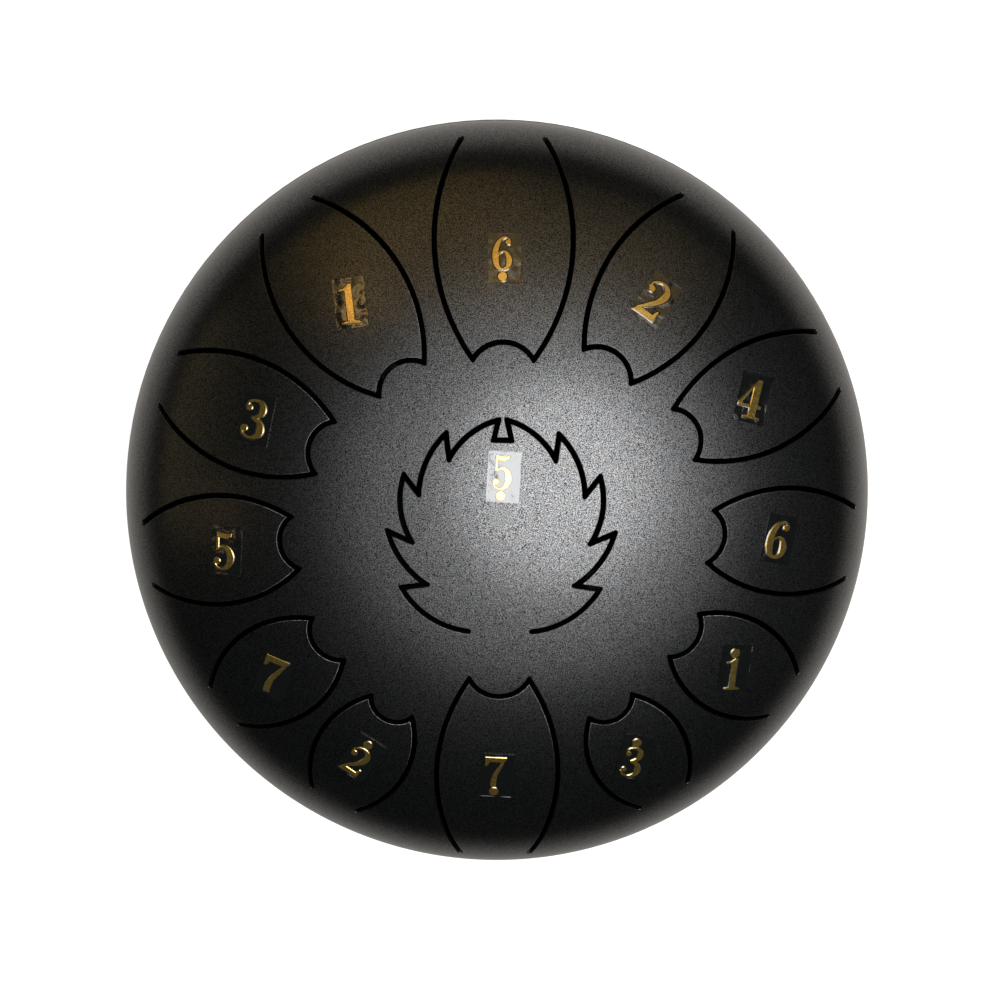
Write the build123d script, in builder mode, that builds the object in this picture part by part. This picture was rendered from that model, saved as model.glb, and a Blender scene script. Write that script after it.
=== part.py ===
from build123d import *
import os
from collections import namedtuple
from math import asin, cos, hypot, isclose, radians, sin, sqrt

os.makedirs("parts", exist_ok=True)

# A steel tongue drum: two pressed shells welded at the rim, thirteen tongues cut into
# the upper one, a numbered label on each tongue, and four screwed rubber feet.
# Millimetres and degrees. +Z is up, +X to the player's right, +Y away from the player.
# The origin is on the floor, under the middle of the drum.

# Shells
RIM_RADIUS = 152.5
SHEET = 1.8
UPPER_RISE = 85.0
UPPER_KNUCKLE = 55.0
LOWER_DROP = 80.0
LOWER_KNUCKLE = 55.0
PORT_RADIUS = 40.0
PORT_EDGE_ROUND = 0.6
FLOOR_GAP = 5.0

# Weld bead round the rim
BEAD_HEIGHT = 3.2
BEAD_BULGE = 0.5
BEAD_SEAT_GAP = 0.02

# Slots that free the tongues
SLOT_WIDTH = 2.0
ROOT_GAP = 0.25
ROOT_OVERRUN = 4.0

# Labels
FILM_WIDTH = 12.5
FILM_LENGTH = 19.0
FILM_SIDE_SHIFT = 0.75
FILM_UP_SHIFT = 0.35
FILM_CORNER = 0.6
FILM_THICKNESS = 0.2
NUMERAL_THICKNESS = 0.3
LAYER_GAP = 0.05
NUMERAL_HEIGHT = 15.2
DOTTED_NUMERAL_HEIGHT = 13.2
DOT_RADIUS = 1.85
DOT_GAP = 0.2

# Feet and their screws
FOOT_COUNT = 4
FOOT_CIRCLE_RADIUS = 65.0
FOOT_START_ANGLE = 45.0
FOOT_TOP_RADIUS = 12.0
FOOT_TAPER = 6.0
FOOT_EDGE_ROUND = 1.2
FOOT_WEB = 4.0
FOOT_SEAT_GAP = 0.05
SCREW_RADIUS = 2.0
SCREW_HOLE_CLEARANCE = 0.25
SCREW_HEAD_RADIUS = 4.0
SCREW_HEAD_HEIGHT = 2.6
SCREW_RECESS_WIDTH = 1.1
SCREW_RECESS_LENGTH = 4.4
SCREW_RECESS_DEPTH = 1.4
SCREW_OVERHANG = 1.2
COUNTERBORE_CLEARANCE = 1.0
WASHER_RADIUS = 5.0
WASHER_THICKNESS = 0.8
WASHER_CLEARANCE = 0.15
NUT_ACROSS_FLATS = 7.0
NUT_HEIGHT = 3.2
NUT_CLEARANCE = 0.05

# The tongues and labels are laid out in hundredths of the rim radius, so they keep their places on
# the dome when the drum grows
HUNDREDTH = RIM_RADIUS / 100

# One petal tongue: bearing of its middle line, radius and half width at the tip corners,
# radius and half width at the root, bow of each side, depth of the round notch in the tip
Petal = namedtuple("Petal", "note bearing tip_radius tip_half root_radius root_half bow notch")
PETALS = [
    Petal("low_6", 90.0, 38.4, 7.5, 94.1, 10.8, 8.2, 4.3),
    Petal("low_7", 270.0, 41.6, 7.5, 93.8, 9.2, 7.2, 4.6),
    Petal("1", 127.0, 41.6, 6.9, 91.8, 8.2, 8.5, 3.9),
    Petal("2", 55.0, 45.2, 7.2, 92.1, 8.2, 7.2, 3.9),
    Petal("3", 160.0, 46.9, 6.9, 91.1, 7.2, 6.9, 3.9),
    Petal("4", 24.0, 49.8, 6.9, 93.1, 8.2, 6.2, 3.9),
    Petal("5", 189.0, 52.1, 6.6, 92.5, 8.2, 6.6, 3.9),
    Petal("6", 354.0, 53.1, 6.6, 92.5, 9.5, 5.6, 3.6),
    Petal("7", 217.0, 54.1, 6.6, 88.9, 6.2, 6.6, 3.9),
    Petal("high_1", 326.5, 56.1, 6.6, 89.8, 6.9, 6.2, 3.6),
    Petal("high_2", 241.5, 56.7, 5.9, 88.9, 6.6, 5.9, 3.9),
    Petal("high_3", 300.0, 57.0, 6.2, 87.9, 7.2, 5.9, 3.9),
]

# The leaf tongue in the middle: its root faces the player, and a dovetail of the shell,
# the stem, runs into its far end
Leaf = namedtuple("Leaf", "note bearing root_radius root_half stem_top stem_foot neck_half foot_half")
LEAF = Leaf("low_5", 270.0, 29.0, 7.9, 23.7, 18.8, 1.05, 2.2)

# One edge of the leaf from the stem to the root, right half: a point on the round stretch,
# then the valley that ends it and the tooth that follows. The last stretch ends at the root.
LeafBay = namedtuple("LeafBay", "through valley tooth")
LEAF_BAYS = [
    LeafBay((7.5, 20.6), (13.1, 14.0), (13.9, 20.3)),
    LeafBay((18.6, 13.5), (20.5, 5.2), (24.2, 9.9)),
    LeafBay((25.0, 2.0), (22.1, -6.6), (28.1, -4.1)),
    LeafBay((24.9, -10.9), (18.4, -17.2), (24.6, -18.2)),
    LeafBay((18.8, -24.7), (LEAF.root_half, -LEAF.root_radius), None),
]

# Labels: tongue, numeral, dot above (1) or below (-1), plan place and clockwise turn
Label = namedtuple("Label", "note numeral dot x y turn")
LABELS = [
    Label("low_5", "5", -1, -0.1, 9.6, 3.0),
    Label("low_6", "6", -1, -0.3, 63.0, 0.0),
    Label("low_7", "7", -1, -0.6, -68.6, 3.0),
    Label("1", "1", 0, -38.5, 51.4, -8.0),
    Label("2", "2", 0, 37.6, 53.4, 35.0),
    Label("3", "3", 0, -62.1, 22.3, 11.0),
    Label("4", "4", 0, 62.9, 28.8, 15.0),
    Label("5", "5", 0, -69.9, -11.4, 3.0),
    Label("6", "6", 0, 70.6, -7.1, 12.0),
    Label("7", "7", 0, -57.5, -43.2, 20.0),
    Label("high_1", "1", 1, 60.1, -40.7, 4.0),
    Label("high_2", "2", 1, -35.5, -64.5, 33.0),
    Label("high_3", "3", 1, 34.9, -64.0, 10.0),
]

# Numerals drawn one unit high. A stroke lists x, y and width along its middle line.
Glyph = namedtuple("Glyph", "strokes plates balls")
GLYPHS = {
    "1": Glyph(
        strokes=[],
        plates=[
            [(-0.07, 0.05), (0.12, 0.05), (0.12, 1.0), (0.04, 1.0), (-0.1, 0.89), (-0.22, 0.87),
             (-0.22, 0.82), (-0.07, 0.83)],
            [(-0.22, 0.0), (0.27, 0.0), (0.27, 0.05), (0.12, 0.09), (-0.07, 0.09), (-0.22, 0.05)],
        ],
        balls=[],
    ),
    "2": Glyph(
        strokes=[
            [(-0.271, 0.72, 0.05), (-0.215, 0.87, 0.06), (-0.023, 0.965, 0.07), (0.169, 0.88, 0.14),
             (0.215, 0.71, 0.19), (0.113, 0.48, 0.15), (-0.102, 0.26, 0.09), (-0.271, 0.08, 0.06)],
        ],
        plates=[[(-0.316, 0.0), (0.277, 0.0), (0.305, 0.3), (0.243, 0.3), (0.192, 0.16),
                 (-0.158, 0.17), (-0.316, 0.05)]],
        balls=[(-0.186, 0.7, 0.088)],
    ),
    "3": Glyph(
        strokes=[
            [(-0.225, 0.79, 0.05), (-0.171, 0.92, 0.06), (0.0, 0.97, 0.06), (0.15, 0.91, 0.13),
             (0.193, 0.76, 0.18), (0.128, 0.61, 0.12), (-0.054, 0.53, 0.05)],
            [(-0.054, 0.53, 0.05), (0.139, 0.46, 0.13), (0.214, 0.27, 0.2), (0.15, 0.1, 0.14),
             (-0.043, 0.03, 0.06), (-0.214, 0.09, 0.06), (-0.278, 0.22, 0.05)],
        ],
        plates=[],
        balls=[(-0.161, 0.77, 0.078), (-0.203, 0.24, 0.088)],
    ),
    "4": Glyph(
        strokes=[],
        plates=[
            [(0.0, 0.04), (0.2, 0.04), (0.2, 1.0), (0.089, 1.0), (-0.322, 0.36), (-0.322, 0.27),
             (0.0, 0.27)],
            [(0.111, 0.27), (0.311, 0.27), (0.311, 0.35), (0.111, 0.35)],
            [(-0.133, 0.0), (0.333, 0.0), (0.333, 0.05), (0.2, 0.08), (0.0, 0.08), (-0.133, 0.05)],
        ],
        balls=[],
    ),
    "5": Glyph(
        strokes=[
            [(-0.17, 0.53, 0.05), (-0.04, 0.62, 0.07), (0.11, 0.57, 0.14), (0.19, 0.37, 0.19),
             (0.14, 0.15, 0.15), (-0.02, 0.035, 0.06), (-0.17, 0.08, 0.06), (-0.24, 0.2, 0.05)],
        ],
        plates=[
            [(-0.2, 1.0), (-0.05, 0.965), (0.1, 0.965), (0.21, 0.99), (0.19, 0.89), (0.05, 0.82),
             (-0.13, 0.84), (-0.13, 0.56), (-0.2, 0.5)],
        ],
        balls=[(-0.165, 0.24, 0.088)],
    ),
    "6": Glyph(
        strokes=[
            [(0.235, 0.86, 0.05), (0.107, 0.97, 0.06), (-0.064, 0.89, 0.11), (-0.182, 0.66, 0.17),
             (-0.203, 0.36, 0.19), (-0.139, 0.12, 0.14), (0.0, 0.035, 0.07)],
            [(0.0, 0.035, 0.07), (0.139, 0.12, 0.13), (0.193, 0.3, 0.18), (0.128, 0.5, 0.12),
             (0.0, 0.565, 0.06), (-0.139, 0.48, 0.06)],
        ],
        plates=[],
        balls=[(0.166, 0.83, 0.085)],
    ),
    "7": Glyph(
        strokes=[[(0.251, 0.93, 0.07), (0.125, 0.66, 0.1), (0.0, 0.4, 0.14), (-0.034, 0.14, 0.17),
                  (-0.023, 0.0, 0.16)]],
        plates=[[(-0.319, 1.0), (0.308, 1.0), (0.308, 0.93), (0.205, 0.83), (-0.182, 0.84),
                 (-0.251, 0.63), (-0.319, 0.63)]],
        balls=[],
    ),
}

# The 4 has an open counter beside its stem
FOUR_COUNTER = [(0.0, 0.35), (0.0, 0.77), (-0.233, 0.35)]

# Worked out from the driving dimensions
SEAM_Z = FLOOR_GAP + LOWER_DROP
SCREW_HOLE_RADIUS = SCREW_RADIUS + SCREW_HOLE_CLEARANCE
CUT_HEIGHT = UPPER_RISE + 2 * SHEET
FILM_LOW = LAYER_GAP
FILM_HIGH = FILM_LOW + FILM_THICKNESS
NUMERAL_LOW = FILM_HIGH + LAYER_GAP
NUMERAL_HIGH = NUMERAL_LOW + NUMERAL_THICKNESS
SEAM_PLANE = Plane(origin=(0, 0, SEAM_Z), x_dir=(1, 0, 0), z_dir=(0, -1, 0))


def crown_radius(rise, knuckle):
    """Radius of the crown arc that runs smoothly into the knuckle arc at the rim."""
    knuckle_centre = RIM_RADIUS - knuckle
    return (knuckle_centre**2 + rise**2 - knuckle**2) / (2 * (rise - knuckle))


def crown_end_angle(rise, knuckle):
    """Angle from the drum's axis, at the crown's centre, where crown and knuckle meet."""
    return asin((RIM_RADIUS - knuckle) / (crown_radius(rise, knuckle) - knuckle))


def wall_section(rise, knuckle, low, high, side, bore=0):
    """Half section of a layer on a shell, low to high outside its outer face; side 1 is up, -1 down."""
    crown = crown_radius(rise, knuckle)
    meet = crown_end_angle(rise, knuckle)
    start_high = asin(bore / (crown + high))
    start_low = asin(bore / (crown + low))
    middle = (start_high + meet) / 2
    turn = (meet + radians(90)) / 2

    def on_crown(angle, offset):
        radius = crown + offset
        return (radius * sin(angle), side * (rise - crown + radius * cos(angle)))

    def on_knuckle(angle, offset):
        radius = knuckle + offset
        return (RIM_RADIUS - knuckle + radius * sin(angle), side * radius * cos(angle))

    with BuildSketch(SEAM_PLANE) as section:
        with BuildLine():
            ThreePointArc(on_crown(start_high, high), on_crown(middle, high), on_crown(meet, high))
            ThreePointArc(on_crown(meet, high), on_knuckle(turn, high), (RIM_RADIUS + high, 0))
            Line((RIM_RADIUS + high, 0), (RIM_RADIUS + low, 0))
            ThreePointArc((RIM_RADIUS + low, 0), on_knuckle(turn, low), on_crown(meet, low))
            ThreePointArc(on_crown(meet, low), on_crown(middle, low), on_crown(start_low, low))
            Line(on_crown(start_low, low), on_crown(start_high, high))
        make_face()
    return section.sketch


def upper_surface(radius):
    """Height of the upper shell's outer face over the seam, and its slope, at a plan radius."""
    crown = crown_radius(UPPER_RISE, UPPER_KNUCKLE)
    meet = crown_end_angle(UPPER_RISE, UPPER_KNUCKLE)
    if radius < crown * sin(meet):
        slope = asin(radius / crown)
        return UPPER_RISE - crown + crown * cos(slope), slope
    slope = asin((radius - RIM_RADIUS + UPPER_KNUCKLE) / UPPER_KNUCKLE)
    return UPPER_KNUCKLE * cos(slope), slope


def plan_point(x, y):
    """A point of the layout in millimetres."""
    return (HUNDREDTH * x, HUNDREDTH * y)


def bearing_plane(bearing):
    """Plan plane at the seam, its x axis running out along a bearing."""
    angle = radians(bearing)
    return Plane(origin=(0, 0, SEAM_Z), x_dir=(cos(angle), sin(angle), 0), z_dir=(0, 0, 1))


def root_plane(bearing, root_radius, gap):
    """Plane across the sheet at a tongue's root, facing the tip, moved by gap towards the tip."""
    radius = HUNDREDTH * root_radius
    height, slope = upper_surface(radius)
    angle = radians(bearing)
    outward = Vector(cos(angle), sin(angle), 0)
    sideways = Vector(-sin(angle), cos(angle), 0)
    to_tip = outward * -cos(slope) + Vector(0, 0, sin(slope))
    origin = outward * radius + Vector(0, 0, SEAM_Z + height) + to_tip * gap
    return Plane(origin=origin, x_dir=sideways, z_dir=to_tip)


def bowed_point(start, end, bow):
    """Point off the middle of a chord, away from the tongue's middle line."""
    along = Vector(end[0] - start[0], end[1] - start[1])
    length = along.length
    side = 1 if start[1] > 0 else -1
    across = Vector(-along.Y, along.X) * (side * bow / length)
    if across.Y * side < 0:
        across = across * -1
    return ((start[0] + end[0]) / 2 + across.X, (start[1] + end[1]) / 2 + across.Y)


def petal_outline(petal):
    """Plan outline along the middle of a petal's slots, run on a little past its root."""
    tips = [plan_point(petal.tip_radius, half) for half in (petal.tip_half, -petal.tip_half)]
    roots = [plan_point(petal.root_radius, half) for half in (petal.root_half, -petal.root_half)]
    bow = HUNDREDTH * petal.bow
    past = roots[0][0] + ROOT_OVERRUN
    with BuildSketch(bearing_plane(petal.bearing)) as outline:
        with BuildLine():
            Line((past, roots[0][1]), roots[0])
            ThreePointArc(roots[0], bowed_point(tips[0], roots[0], bow), tips[0])
            ThreePointArc(tips[0], plan_point(petal.tip_radius + petal.notch, 0), tips[1])
            ThreePointArc(tips[1], bowed_point(tips[1], roots[1], bow), roots[1])
            Line(roots[1], (past, roots[1][1]))
            Line((past, roots[1][1]), (past, roots[0][1]))
        make_face()
    return outline.sketch


def leaf_outline():
    """Plan outline along the middle of the leaf's slot, run on a little past its root."""
    middle_foot = plan_point(0, LEAF.stem_foot)
    with BuildSketch(Plane.XY.offset(SEAM_Z)) as outline:
        for hand in (1, -1):
            with BuildLine():
                start = plan_point(hand * LEAF.neck_half, LEAF.stem_top)
                Polyline(middle_foot, plan_point(hand * LEAF.foot_half, LEAF.stem_foot), start)
                for bay in LEAF_BAYS:
                    valley = plan_point(hand * bay.valley[0], bay.valley[1])
                    ThreePointArc(start, plan_point(hand * bay.through[0], bay.through[1]), valley)
                    if bay.tooth:
                        start = plan_point(hand * bay.tooth[0], bay.tooth[1])
                        Line(valley, start)
                past = valley[1] - ROOT_OVERRUN
                Polyline(valley, (valley[0], past), (0, past), middle_foot)
            make_face()
    return outline.sketch


def tongue_prism(outline, grow, cut_plane):
    """Upright prism over a tongue's outline, grown or shrunk, and cut off at the root."""
    with BuildPart() as prism:
        slot_edge = offset(outline, amount=grow, kind=Kind.ARC, mode=Mode.PRIVATE)
        extrude(slot_edge, amount=CUT_HEIGHT, dir=(0, 0, 1))
        split(bisect_by=cut_plane, keep=Keep.TOP)
    return prism.part


def stroke_face(points):
    """Face of a stroke whose width changes along its middle line."""
    left = []
    right = []
    for index, (x, y, width) in enumerate(points):
        before = points[max(index - 1, 0)]
        after = points[min(index + 1, len(points) - 1)]
        run = hypot(after[0] - before[0], after[1] - before[1])
        across = (-(after[1] - before[1]) / run * width / 2, (after[0] - before[0]) / run * width / 2)
        left.append((x + across[0], y + across[1]))
        right.append((x - across[0], y - across[1]))
    with BuildSketch() as stroke:
        with BuildLine():
            Spline(*left)
            Line(left[-1], right[-1])
            Spline(*reversed(right))
            Line(right[0], left[0])
        make_face()
    return stroke.sketch


def glyph_face(numeral):
    """A numeral one unit high, standing on the x axis."""
    glyph = GLYPHS[numeral]
    with BuildSketch() as face:
        for points in glyph.plates:
            with BuildLine():
                Polyline(*points, close=True)
            make_face()
        for x, y, radius in glyph.balls:
            with Locations((x, y)):
                Circle(radius)
        for points in glyph.strokes:
            add(stroke_face(points))
        if numeral == "4":
            with BuildLine():
                Polyline(*FOUR_COUNTER, close=True)
            make_face(mode=Mode.SUBTRACT)
    return face.sketch


def label_plane(label):
    """Plan plane at the seam under a label, its y axis up the numeral."""
    angle = radians(-label.turn)
    place = plan_point(label.x, label.y)
    return Plane(origin=(*place, SEAM_Z), x_dir=(cos(angle), sin(angle), 0), z_dir=(0, 0, 1))


def label_print(label):
    """The numeral of a label with its octave dot, about the label's middle."""
    height = DOTTED_NUMERAL_HEIGHT if label.dot else NUMERAL_HEIGHT
    stack = height + (DOT_GAP + 2 * DOT_RADIUS if label.dot else 0)
    foot = -stack / 2 if label.dot >= 0 else stack / 2 - height
    with BuildSketch() as inked:
        with Locations((0, foot)):
            add(scale(glyph_face(label.numeral), by=height, mode=Mode.PRIVATE))
        if label.dot:
            with Locations((0, label.dot * (stack / 2 - DOT_RADIUS))):
                Circle(DOT_RADIUS)
    return inked.sketch


def save(part, name):
    """Label a finished piece and write it as its own file."""
    part.label = name
    export_step(part, f"parts/{name}.step")


# Every tongue: its name, outline, root and bearing
Tongue = namedtuple("Tongue", "note outline bearing root_radius")
tongues = [Tongue(LEAF.note, leaf_outline(), LEAF.bearing, LEAF.root_radius)]
for petal in PETALS:
    tongues.append(Tongue(petal.note, petal_outline(petal), petal.bearing, petal.root_radius))

upper_section = wall_section(UPPER_RISE, UPPER_KNUCKLE, -SHEET, 0, 1)
windows = []
for tongue in tongues:
    shell_root = root_plane(tongue.bearing, tongue.root_radius, 0)
    windows.append(tongue_prism(tongue.outline, SLOT_WIDTH / 2, shell_root))

# Upper shell with its thirteen windows
with BuildPart() as upper_shell:
    revolve(upper_section, axis=Axis.Z)
    add(windows, mode=Mode.SUBTRACT)
save(upper_shell.part, "upper_shell")

# Tongues, cut from the same sheet
for tongue in tongues:
    tongue_root = root_plane(tongue.bearing, tongue.root_radius, ROOT_GAP)
    prism = tongue_prism(tongue.outline, -SLOT_WIDTH / 2, tongue_root)
    with BuildPart() as tongue_plate:
        revolve(upper_section, axis=Axis.Z)
        add(prism, mode=Mode.INTERSECT)
    save(tongue_plate.part, f"tongue_{tongue.note}")

# Label films and the numerals on them
film_section = wall_section(UPPER_RISE, UPPER_KNUCKLE, FILM_LOW, FILM_HIGH, 1)
numeral_section = wall_section(UPPER_RISE, UPPER_KNUCKLE, NUMERAL_LOW, NUMERAL_HIGH, 1)
for label in LABELS:
    with BuildPart() as label_film:
        revolve(film_section, axis=Axis.Z)
        with BuildSketch(label_plane(label)):
            with Locations((FILM_SIDE_SHIFT, FILM_UP_SHIFT)):
                RectangleRounded(FILM_WIDTH, FILM_LENGTH, FILM_CORNER)
        extrude(amount=CUT_HEIGHT, mode=Mode.INTERSECT)
    save(label_film.part, f"label_film_{label.note}")

    inked = label_print(label)
    with BuildPart() as numeral:
        revolve(numeral_section, axis=Axis.Z)
        with BuildSketch(label_plane(label)):
            add(inked)
        extrude(amount=CUT_HEIGHT, mode=Mode.INTERSECT)
    save(numeral.part, f"numeral_{label.note}")

# Seats of the feet on the lower shell, each plane facing out of the drum
lower_crown = crown_radius(LOWER_DROP, LOWER_KNUCKLE)
foot_slope = asin(FOOT_CIRCLE_RADIUS / lower_crown)
foot_z = FLOOR_GAP + lower_crown - sqrt(lower_crown**2 - FOOT_CIRCLE_RADIUS**2)
foot_planes = []
for index in range(FOOT_COUNT):
    angle = radians(FOOT_START_ANGLE + index * 360 / FOOT_COUNT)
    outward = Vector(cos(angle), sin(angle), 0)
    foot_planes.append(
        Plane(
            origin=outward * FOOT_CIRCLE_RADIUS + Vector(0, 0, foot_z),
            x_dir=(-sin(angle), cos(angle), 0),
            z_dir=outward * sin(foot_slope) - Vector(0, 0, cos(foot_slope)),
        )
    )

# Lower shell with the sound port and the screw holes
with BuildPart() as lower_shell:
    revolve(wall_section(LOWER_DROP, LOWER_KNUCKLE, -SHEET, 0, -1, PORT_RADIUS), axis=Axis.Z)
    port_edges = lower_shell.edges().filter_by(GeomType.CIRCLE).filter_by(
        lambda edge: isclose(edge.radius, PORT_RADIUS)
    )
    fillet(port_edges, radius=PORT_EDGE_ROUND)
    for seat in foot_planes:
        with BuildSketch(seat):
            Circle(SCREW_HOLE_RADIUS)
        extrude(amount=2 * SHEET, both=True, mode=Mode.SUBTRACT)
save(lower_shell.part, "lower_shell")

# Weld bead round the rim
with BuildPart() as rim_weld:
    with BuildSketch(SEAM_PLANE):
        with BuildLine():
            bead_low = (RIM_RADIUS + BEAD_SEAT_GAP, -BEAD_HEIGHT / 2)
            bead_high = (RIM_RADIUS + BEAD_SEAT_GAP, BEAD_HEIGHT / 2)
            ThreePointArc(bead_low, (RIM_RADIUS + BEAD_SEAT_GAP + BEAD_BULGE, 0), bead_high)
            Line(bead_high, bead_low)
        make_face()
    revolve(axis=Axis.Z)
save(rim_weld.part, "rim_weld")

# Rubber feet, square to the shell at the top and cut level at the floor
foot_reach = foot_z / cos(foot_slope) + 2 * FOOT_TOP_RADIUS
for index, seat in enumerate(foot_planes):
    with BuildPart() as foot:
        with BuildSketch(seat.offset(FOOT_SEAT_GAP)):
            Circle(FOOT_TOP_RADIUS)
        extrude(amount=foot_reach, taper=FOOT_TAPER)
        with BuildSketch(seat):
            Circle(SCREW_HOLE_RADIUS)
        extrude(amount=foot_reach, mode=Mode.SUBTRACT)
        with BuildSketch(seat.offset(FOOT_WEB)):
            Circle(SCREW_HEAD_RADIUS + COUNTERBORE_CLEARANCE)
        extrude(amount=foot_reach, mode=Mode.SUBTRACT)
        split(bisect_by=Plane.XY, keep=Keep.TOP)
        floor_face = foot.faces().sort_by(Axis.Z)[0]
        fillet(floor_face.outer_wire().edges(), radius=FOOT_EDGE_ROUND)
    save(foot.part, f"foot_{index + 1}")

# Screws from below, with washers and nuts inside the drum
washer_seat = SHEET + lower_crown - SHEET - sqrt((lower_crown - SHEET) ** 2 - WASHER_RADIUS**2)
nut_seat = washer_seat + WASHER_THICKNESS
screw_end = nut_seat + NUT_HEIGHT + SCREW_OVERHANG
with BuildPart() as foot_screws:
    for seat in foot_planes:
        with BuildSketch(seat.offset(-screw_end)):
            Circle(SCREW_RADIUS)
        extrude(amount=screw_end + FOOT_WEB)
        with BuildSketch(seat.offset(FOOT_WEB)):
            Circle(SCREW_HEAD_RADIUS)
        extrude(amount=SCREW_HEAD_HEIGHT)
        with BuildSketch(seat.offset(FOOT_WEB + SCREW_HEAD_HEIGHT)):
            Rectangle(SCREW_RECESS_LENGTH, SCREW_RECESS_WIDTH)
            Rectangle(SCREW_RECESS_WIDTH, SCREW_RECESS_LENGTH)
        extrude(amount=-SCREW_RECESS_DEPTH, mode=Mode.SUBTRACT)
save(foot_screws.part, "foot_screws")

with BuildPart() as foot_washers:
    for seat in foot_planes:
        with BuildSketch(seat.offset(-washer_seat)):
            Circle(WASHER_RADIUS)
            Circle(SCREW_RADIUS + WASHER_CLEARANCE, mode=Mode.SUBTRACT)
        extrude(amount=-WASHER_THICKNESS)
save(foot_washers.part, "foot_washers")

with BuildPart() as foot_nuts:
    for seat in foot_planes:
        with BuildSketch(seat.offset(-nut_seat)):
            RegularPolygon(NUT_ACROSS_FLATS / 2, 6, major_radius=False)
            Circle(SCREW_RADIUS + NUT_CLEARANCE, mode=Mode.SUBTRACT)
        extrude(amount=-NUT_HEIGHT)
save(foot_nuts.part, "foot_nuts")
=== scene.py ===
from cmath import exp, phase
from collections import namedtuple
from math import asin, ceil, cos, pi, radians, sin

import bpy
import numpy as np
from mathutils import Matrix, Vector
from mathutils.geometry import delaunay_2d_cdt
from mathutils.kdtree import KDTree


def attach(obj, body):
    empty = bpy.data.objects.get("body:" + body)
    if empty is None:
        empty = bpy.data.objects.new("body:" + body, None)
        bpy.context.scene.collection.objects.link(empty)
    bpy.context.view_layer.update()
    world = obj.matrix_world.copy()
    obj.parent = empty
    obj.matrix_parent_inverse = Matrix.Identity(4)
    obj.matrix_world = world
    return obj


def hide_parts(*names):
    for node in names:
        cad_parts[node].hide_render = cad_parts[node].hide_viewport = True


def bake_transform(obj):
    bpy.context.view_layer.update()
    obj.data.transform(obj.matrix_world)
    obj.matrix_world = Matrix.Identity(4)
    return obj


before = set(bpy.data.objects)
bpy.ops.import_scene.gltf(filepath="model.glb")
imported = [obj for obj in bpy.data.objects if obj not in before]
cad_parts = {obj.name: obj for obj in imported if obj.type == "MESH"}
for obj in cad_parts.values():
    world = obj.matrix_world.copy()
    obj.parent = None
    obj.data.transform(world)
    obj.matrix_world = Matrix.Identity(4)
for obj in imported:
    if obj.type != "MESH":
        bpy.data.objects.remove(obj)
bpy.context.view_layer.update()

# A steel tongue drum dressed for the photograph. The solids' sizes are repeated here in millimetres.
# The dome and its tongues are one sheet, so they are meshed together and parted at the tongues' roots.
MM = 0.001
RIM_RADIUS = 152.5
SHEET = 1.8
UPPER_RISE = 85.0
LOWER_DROP = 80.0
KNUCKLE = 55.0
FLOOR_GAP = 5.0
SEAM_Z = FLOOR_GAP + LOWER_DROP
SLOT_HALF = 1.0
FILM_SIZE = (12.5, 19.0)
FILM_SHIFT = complex(0.75, 0.35)
FILM_LOW, FILM_HIGH = 0.05, 0.25
NUMERAL_LOW, NUMERAL_HIGH = 0.3, 0.6
NUMERAL_HEIGHT = 15.2
DOTTED_NUMERAL_HEIGHT = 13.2
DOT_RADIUS = 1.85
DOT_GAP = 0.2

# Layout in hundredths of the rim radius
HUNDREDTH = RIM_RADIUS / 100
Petal = namedtuple("Petal", "note bearing tip_radius tip_half root_radius root_half bow notch")
PETALS = [
    Petal("low_6", 90.0, 38.4, 7.5, 94.1, 10.8, 8.2, 4.3),
    Petal("low_7", 270.0, 41.6, 7.5, 93.8, 9.2, 7.2, 4.6),
    Petal("1", 127.0, 41.6, 6.9, 91.8, 8.2, 8.5, 3.9),
    Petal("2", 55.0, 45.2, 7.2, 92.1, 8.2, 7.2, 3.9),
    Petal("3", 160.0, 46.9, 6.9, 91.1, 7.2, 6.9, 3.9),
    Petal("4", 24.0, 49.8, 6.9, 93.1, 8.2, 6.2, 3.9),
    Petal("5", 189.0, 52.1, 6.6, 92.5, 8.2, 6.6, 3.9),
    Petal("6", 354.0, 53.1, 6.6, 92.5, 9.5, 5.6, 3.6),
    Petal("7", 217.0, 54.1, 6.6, 88.9, 6.2, 6.6, 3.9),
    Petal("high_1", 326.5, 56.1, 6.6, 89.8, 6.9, 6.2, 3.6),
    Petal("high_2", 241.5, 56.7, 5.9, 88.9, 6.6, 5.9, 3.9),
    Petal("high_3", 300.0, 57.0, 6.2, 87.9, 7.2, 5.9, 3.9),
]
Leaf = namedtuple("Leaf", "note bearing root_radius root_half stem_top stem_foot neck_half foot_half")
LEAF = Leaf("low_5", 270.0, 29.0, 7.9, 23.7, 18.8, 1.05, 2.2)
LEAF_BAYS = [
    ((7.5, 20.6), (13.1, 14.0), (13.9, 20.3)),
    ((18.6, 13.5), (20.5, 5.2), (24.2, 9.9)),
    ((25.0, 2.0), (22.1, -6.6), (28.1, -4.1)),
    ((24.9, -10.9), (18.4, -17.2), (24.6, -18.2)),
    ((18.8, -24.7), (LEAF.root_half, -LEAF.root_radius), None),
]
Label = namedtuple("Label", "note numeral dot x y turn")
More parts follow.
